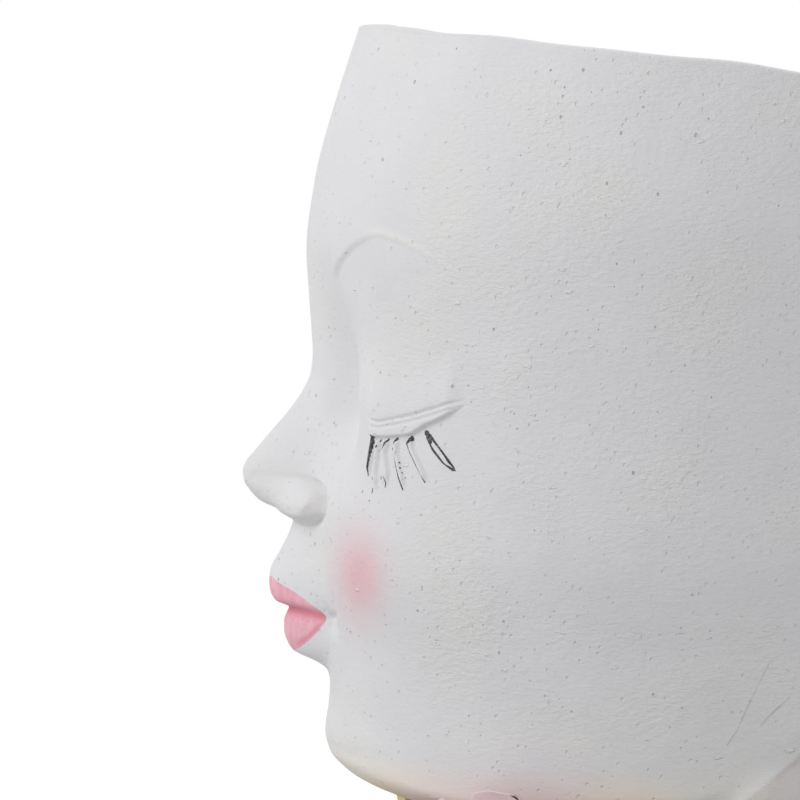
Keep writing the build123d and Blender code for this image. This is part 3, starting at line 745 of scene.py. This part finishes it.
# hairline scratches at the corner of the jaw, drawn like the strokes
scratch = dict(lines=[[(92.8, 29, 0.03), (89.4, 22.1, 0.06), (86.6, 16.2, 0.08), (84.8, 13.7, 0.03)],
                      [(96.5, 22.3, 0.03), (92.4, 18.6, 0.07), (91, 17.1, 0.03)]])


def dustyScratch():
    # a scratch through the wash, grey with dust: a soft line, broken where it is shallow
    return twoTone("dustyScratch", {"Roughness": 0.9, "IOR": 1.5}, "#b4b0ac", "#dad8d7", 3, 2)


def buildStrokes(name, shells, material):
    obj = makeMesh(name, *joinShells(shells))
    obj.data.materials.append(material)
    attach(obj, "planter")


buildStrokes("lash_paint", [strokeShell(line, sign) for line in lashPaint["strokes"] for sign in (1, -1)], lashBlack())
buildStrokes("jaw_scratches", [strokeShell(line, 1) for line in scratch["lines"]], dustyScratch())
print("lashes painted")

# flower collar: sizes as in the part; each piece sits on one of the sides of the ring
collar = dict(apothem=53, height=32.3, sides=16, pairs=4)
blossom = dict(
    petals=5, twist=11, seat=3.6, innerShare=0.62, innerLift=1.2, thick=1.7, notch=0.07, ruffle=0.55, vein=0.09,
    outline=[(0, 0.2), (0.2, 0.36), (0.45, 0.74), (0.68, 1), (0.84, 0.94), (0.95, 0.62), (1, 0.2)], halfWidth=0.45,
    calyx=[(0, 0), (6.6, 0), (7, 0.5), (6.8, 2), (6.2, 3.6), (0, 4)], wobble=0.05, segments=40,
    hub=[(0, 3), (5, 3.4), (5, 6.6), (4.6, 7), (0, 7)], grid=(22, 17), phases=6, liftSpread=0.15, turnSpread=2.5,
    yellow=dict(radius=18.8, cup=0.12), pink=dict(radius=24, cup=0.3))
button = dict(
    dome=[(0, 6.8), (4.3, 6.8), (4.4, 7.6), (3.9, 9), (2.6, 10), (0, 10.3)], segments=36, beads=42, bead=0.62, reach=4,
    turn=2.39996, crown=10.25, fall=0.115, leastBead=0.85, beadSpread=0.3, beadSegments=9,
    beadShape=[(0, -0.7), (0.5, -0.55), (0.92, 0), (0.74, 0.55), (0.36, 0.86), (0, 0.95)])
leaf = dict(length=15.5, halfWidth=5.5, bend=28, seat=3, thick=1.5, rib=0.45, vein=0.16, teeth=9, toothDepth=0.07,
            outline=[(0, 0.28), (0.15, 0.5), (0.42, 1), (0.7, 0.72), (0.9, 0.28), (1, 0.04)], grid=(56, 21), phases=6,
            base=[(0, 0), (3.9, 0), (4, 0.6), (3.6, 3), (0, 3.6)], segments=28, wobble=0.04)
random = np.random.default_rng(7)


def bladeShell(rows, columns, surface):
    # a closed thin blade; surface(u, v) gives middle point, thickness and relief, u along and v across
    u = np.linspace(0, 1, rows)[:, None]
    v = np.sin(np.linspace(-math.pi / 2, math.pi / 2, columns))[None, :]
    u, v = np.broadcast_arrays(u, v)
    middle, thick, relief = surface(u, v)
    lift = np.zeros(middle.shape)
    lift[..., 2] = thick / 2
    top = middle + lift
    top[..., 2] += relief
    bottom = (middle - lift)[:, ::-1]
    points = np.concatenate([top, bottom], axis=1)
    along = np.broadcast_to(u[:, :1], (rows, 2 * columns)).reshape(-1)
    return points.reshape(-1, 3), tubeFaces(rows, 2 * columns), along


def petalShell(length, cup, phase):
    b = blossom

    def surface(u, v):
        reach = length * (0.08 + 0.92 * u) * (1 - b["notch"] * u ** 6 * hump(v, 0.3))
        half = b["halfWidth"] * length * through(b["outline"], u)
        ruffle = b["ruffle"] * np.sin(3.2 * v + 5 * u + phase) * v ** 2 * u ** 2
        bowl = cup * length * (reach / length) ** 2 + 0.1 * length * v ** 2 * u * (1 - 0.5 * u)
        fold = -0.5 * hump(v, 0.18) * ease(1.6 * (1 - u))  # the middle crease
        thick = b["thick"] * (0.3 + 0.7 * np.sqrt(1 - 0.999 * v ** 2)) * (1 - 0.55 * u)
        veins = b["vein"] * np.cos(13 * v * (1 - 0.25 * u) * math.pi / 2) * (1 - v ** 2) * ease(3 * u)
        return np.stack([reach, half * v, b["seat"] + bowl + ruffle + fold], axis=-1), thick, veins

    return bladeShell(*b["grid"], surface)


def spin(points, turn, twist=0.0, height=0.0):
    c, s = math.cos(math.radians(twist)), math.sin(math.radians(twist))
    x, y, z = points[:, 0], points[:, 1], points[:, 2] - height
    y, z = c * y - s * z, s * y + c * z + height
    c, s = math.cos(math.radians(turn)), math.sin(math.radians(turn))
    return np.stack([c * x - s * y, s * x + c * y, z], axis=-1)


def latheShell(profile, segments=32, wobble=0.0):
    # a turned shell from an outline that begins and ends on the axis
    turn = np.linspace(0, 2 * math.pi, segments, endpoint=False)
    rings = [(r * (1 + wobble * np.sin(5 * turn)), z) for r, z in profile[1:-1]]
    points = [(0, 0, profile[0][1])]
    for r, z in rings:
        points += list(zip(r * np.cos(turn), r * np.sin(turn), np.full(segments, z)))
    points.append((0, 0, profile[-1][1]))
    last = len(points) - 1
    faces = []
    for k in range(segments):
        n = (k + 1) % segments
        faces.append((0, 1 + n, 1 + k))
        for row in range(len(rings) - 1):
            a, b = 1 + row * segments, 1 + (row + 1) * segments
            faces.append((a + k, a + n, b + n, b + k))
        a = 1 + (len(rings) - 1) * segments
        faces.append((a + k, a + n, last))
    return np.array(points, float), faces


def onCollar(points, side):
    # from a piece's own flat seat to its side of the collar, side 0 at the front
    turn = 2 * math.pi * side / collar["sides"]
    s, c = math.sin(turn), math.cos(turn)
    along, up, out = points[:, 0], collar["height"] + points[:, 1], collar["apothem"] + points[:, 2]
    return np.stack([c * along + s * out, s * along - c * out, up], axis=-1) * mm


def seatPiece(name, shells, side, materials):
    # the shells of one piece, joined and seated on its side of the collar
    points, faces = joinShells(shells)
    obj = makeMesh(name, onCollar(np.array(points), side).tolist(), faces, smooth=True)
    for material in materials:
        obj.data.materials.append(material)
    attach(obj, "planter")
    return obj


def buildBlossom(name, kind, side, materials):
    b, own = blossom, blossom[kind]
    shells, along, slots = [], [], []
    for whorl in range(2):
        length = own["radius"] * (b["innerShare"] if whorl else 1)
        for k in range(b["petals"]):
            points, faces, u = petalShell(length, own["cup"], random.uniform(0, b["phases"]))
            points[:, 2] += b["innerLift"] * whorl + random.uniform(-b["liftSpread"], b["liftSpread"])
            turn = 360 / b["petals"] * (k + 0.5 * whorl) + random.uniform(-b["turnSpread"], b["turnSpread"])
            shells.append((spin(points, turn, b["twist"], b["seat"]), faces))
            along.append(u)
            slots += [0] * len(faces)
    for profile, wobble in ((b["calyx"], b["wobble"]), (b["hub"], 0.0)):
        points, faces = latheShell(profile, b["segments"], wobble)
        shells.append((points, faces))
        along.append(np.zeros(len(points)))
        slots += [1] * len(faces)
    obj = seatPiece(name, shells, side, materials)
    setAttribute(obj, "along", np.concatenate(along))
    obj.data.polygons.foreach_set("material_index", slots)
    return obj


def buildButton(name, side, material):
    b = button
    shells = [latheShell(b["dome"], b["segments"])]
    for k in range(b["beads"]):
  # seeds in a sunflower's spiral over the dome
        r, a = b["reach"] * math.sqrt((k + 0.5) / b["beads"]), k * b["turn"]
        size = b["bead"] * (b["leastBead"] + b["beadSpread"] * random.random())
        points, faces = latheShell(b["beadShape"], b["beadSegments"])
        place = (r * math.cos(a), r * math.sin(a), b["crown"] - b["fall"] * r * r)
        shells.append((points * size + place, faces))
    obj = seatPiece(name, shells, side, [material])
    return obj


def leafShell(sign, phase):
    lf = leaf

    def surface(u, v):
        saw = 1 - lf["toothDepth"] * ((u * lf["teeth"]) % 1) * np.abs(v) ** 4 * ease(6 * (1 - u))
        half = lf["halfWidth"] * through(lf["outline"], u) * saw
        run = lf["length"] * (0.02 + 0.98 * u) / lf["bend"]
        wave = 0.5 * np.sin(4 * u + phase) * v ** 2 * u
        z = lf["seat"] + lf["bend"] * (1 - np.cos(run)) + 0.1 * half * np.abs(v) + wave
        middle = np.stack([half * v, sign * lf["bend"] * np.sin(run), z + lf["thick"] / 2], axis=-1)
        thick = lf["thick"] * (0.3 + 0.7 * np.sqrt(1 - 0.999 * v ** 2)) * (1 - 0.5 * u)
        veins = -lf["vein"] * hump(((u * 7 - 1.6 * np.abs(v)) % 1) - 0.5, 0.16) * ease(5 * np.abs(v)) * (1 - v ** 4)
        return middle, thick, veins + lf["rib"] * hump(v, 0.1) * (1 - 0.7 * u)

    points, faces, _ = bladeShell(*lf["grid"], surface)
    return points, faces if sign < 0 else [f[::-1] for f in faces]


def buildLeafPair(name, side, material):
    shells = [leafShell(sign, random.uniform(0, leaf["phases"])) for sign in (1, -1)]
    shells.append(latheShell(leaf["base"], leaf["segments"], leaf["wobble"]))
    obj = seatPiece(name, shells, side, [material])
    return obj


def paintedPetal(name, heart, middle, edge):
    # cast resin petals, hand painted in matt acrylic: darker at the heart, washed out along brush strokes
    material, tree, shader = newMaterial(name, {"Roughness": 0.6, "IOR": 1.49, "Subsurface Weight": 0.08,
                                                "Subsurface Radius": (0.002, 0.0012, 0.0008)})
    stroke = noise((addNode(tree, "ShaderNodeTexCoord"), "Object"), 2.2, 4)
    shifted = reckon("MULTIPLY_ADD", stroke, 0.45, attribute(tree, "along"))
    ramp = addNode(tree, "ShaderNodeValToRGB", {"Fac": shifted})
    stops = ramp.color_ramp.elements
    stops[0].position, stops[0].color = 0.25, hexLinear(heart)
    stops[1].position, stops[1].color = 1, hexLinear(edge)
    stops.new(0.68).color = hexLinear(middle)
    join((ramp, "Color"), shader, "Base Color")
    addBump(shader, stroke, 0.25, 0.3)
    return material


yellowPetal = paintedPetal("paintedResinYellow", "#cfa45a", "#e8d8a4", "#dfca94")
pinkPetal = paintedPetal("paintedResinPink", "#cf7f98", "#e9b6c4", "#f3dce1")
# painted resin leaf: moss green, paler in patches
leafGreen = twoTone("paintedResinGreen", {"Roughness": 0.62, "IOR": 1.49}, "#5f7c45", "#86a065", 5,
                    grain=(0.9, 0.25, 0.3))
# painted resin seeds: ochre, browner in patches
seedOchre = twoTone("paintedResinOchre", {"Roughness": 0.6, "IOR": 1.49}, "#a9712c", "#dcae55", 1.2,
                    grain=(0.6, 0.2, 0.2))
# painted resin ring: a darker green with the brush's drag
collarGreen = twoTone("paintedResinMoss", {"Roughness": 0.7, "IOR": 1.49}, "#4f6a3c", "#718b55", 7,
                      grain=(1.2, 0.3, 0.4))
# moulded black rubber: faint bloom, soft sheen
plugRubber = twoTone("mouldedBlackRubber", {"Roughness": 0.62, "IOR": 1.52}, "#1b1b1c", "#29292a", 4,
                     grain=(0.7, 0.12, 0.2))
# pressed wool felt: fibres that lie every way, no shine
padFelt = twoTone("pressedWoolFelt", {"Roughness": 0.95, "IOR": 1.5, "Sheen Weight": 0.35, "Specular IOR Level": 0.2},
                  "#55504a", "#7a746b", 1.6, grain=(0.6, 0.6, 0.4))


def buildCollar():
    between = collar["sides"] // collar["pairs"]  # sides from one flower to the next of its colour
    for kind, first, petal in (("yellow", 0, yellowPetal), ("pink", between // 2, pinkPetal)):
        for k in range(collar["pairs"]):
            side = between * k + first
            flower = buildBlossom(f"{kind}_flower_{k + 1}", kind, side, (petal, leafGreen))
            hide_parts(f"{kind}_blossom_{k + 1}")
            seeds = buildButton(f"{kind}_seeds_{k + 1}", side, seedOchre)
            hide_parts(f"{kind}_button_{k + 1}")
    for k in range(2 * collar["pairs"]):
        blade = buildLeafPair(f"leaf_spray_{k + 1}", 2 * k + 1, leafGreen)
        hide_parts(f"leaf_pair_{k + 1}")
    kept = {"collar_front_half": collarGreen, "collar_back_half": collarGreen, "drain_plug": plugRubber}
    for node, material in kept.items():
        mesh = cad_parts[node].data
        mesh.materials.clear()
        mesh.materials.append(material)


buildCollar()
print("flowers, leaves and collar made")

pad = dict(radius=7, thick=2, corner=0.5, circle=41, count=4, firstTurn=45, fuzz=0.07, rings=8, cornerSteps=5,
           segments=56)


def buildPads():
    shells = []
    inner = pad["radius"] - pad["corner"]
    bottom = [(inner * j / pad["rings"], 0) for j in range(pad["rings"] + 1)]
    for j in range(1, pad["cornerSteps"] + 1):
        a = math.radians(90 * j / pad["cornerSteps"])
        bottom.append((inner + pad["corner"] * math.sin(a), pad["corner"] * (1 - math.cos(a))))
    outline = bottom + [(r, pad["thick"] - z) for r, z in reversed(bottom)]
    for k in range(pad["count"]):
        points, faces = latheShell(outline, pad["segments"])
  # fibres push the free edge in and out; the faces that are glued and stood on stay flat
        rim = np.hypot(points[:, 0], points[:, 1]) > inner
        points[rim, :2] *= 1 + pad["fuzz"] / pad["radius"] * random.uniform(-1, 1, (rim.sum(), 1))
        turn = math.radians(pad["firstTurn"] + 360 / pad["count"] * k)
        shells.append((points + (pad["circle"] * math.cos(turn), pad["circle"] * math.sin(turn), 0), faces))
    points, faces = joinShells(shells)
    obj = makeMesh("felt_discs", (np.array(points) * mm).tolist(), faces)
    obj.data.materials.append(padFelt)
    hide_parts("foot_pads")
    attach(obj, "planter")


buildPads()
print("felt pads made")

# soft boxes round the table: place and size in metres, power in watts
light = dict(world=0.564, lamps=[
    dict(name="key", watts=7.45, size=0.9, place=(0.4, -1.1, 0.8)),  # in front of the face
    dict(name="cheek", watts=0.25, size=1.0, place=(1.2, 0.2, 0.7)),  # beside the camera
    dict(name="back", watts=12, size=1.2, place=(-0.9, 1.0, 0.8))])  # fills the far side


def addLights():
    for lamp in light["lamps"]:
        data = bpy.data.lights.new(lamp["name"], "AREA")
        data.energy = lamp["watts"]
        data.size = lamp["size"]
        aimAtHead(lamp["name"], data, lamp["place"])
    world = bpy.data.worlds.new("studio")
    scene.world = world
    world.use_nodes = True
    tree = world.node_tree
    seen = tree.nodes["Background"]
    seen.inputs["Color"].default_value = (1, 1, 1, 1)
    # full white where the camera or a reflection looks past the table, softer as light
    rays = addNode(tree, "ShaderNodeLightPath")
    shown = reckon("MAXIMUM", (rays, "Is Camera Ray"), (rays, "Is Glossy Ray"))
    shown = reckon("MAXIMUM", shown, (rays, "Is Transmission Ray"))
    join(ranged(shown, 0, 1, light["world"], 1), seen, "Strength")


table = dict(half=0.6, lift=0.42, grey="#cdcdcd")  # metres


def addFloor():
    # a pale grey table that keeps the shadow, lifted to white for the camera
    half = table["half"]
    obj = makeMesh("floor", [(-half, -half, 0), (half, -half, 0), (half, half, 0), (-half, half, 0)], [(0, 1, 2, 3)])
    settings = {"Base Color": hexLinear(table["grey"]), "Roughness": 0.9, "Emission Color": (1, 1, 1, 1)}
    material, tree, shader = newMaterial("whiteTable", settings)
    rays = addNode(tree, "ShaderNodeLightPath")
    join(reckon("MULTIPLY", (rays, "Is Camera Ray"), table["lift"]), shader, "Emission Strength")
    obj.data.materials.append(material)


addLights()
addFloor()
print("light and floor placed")
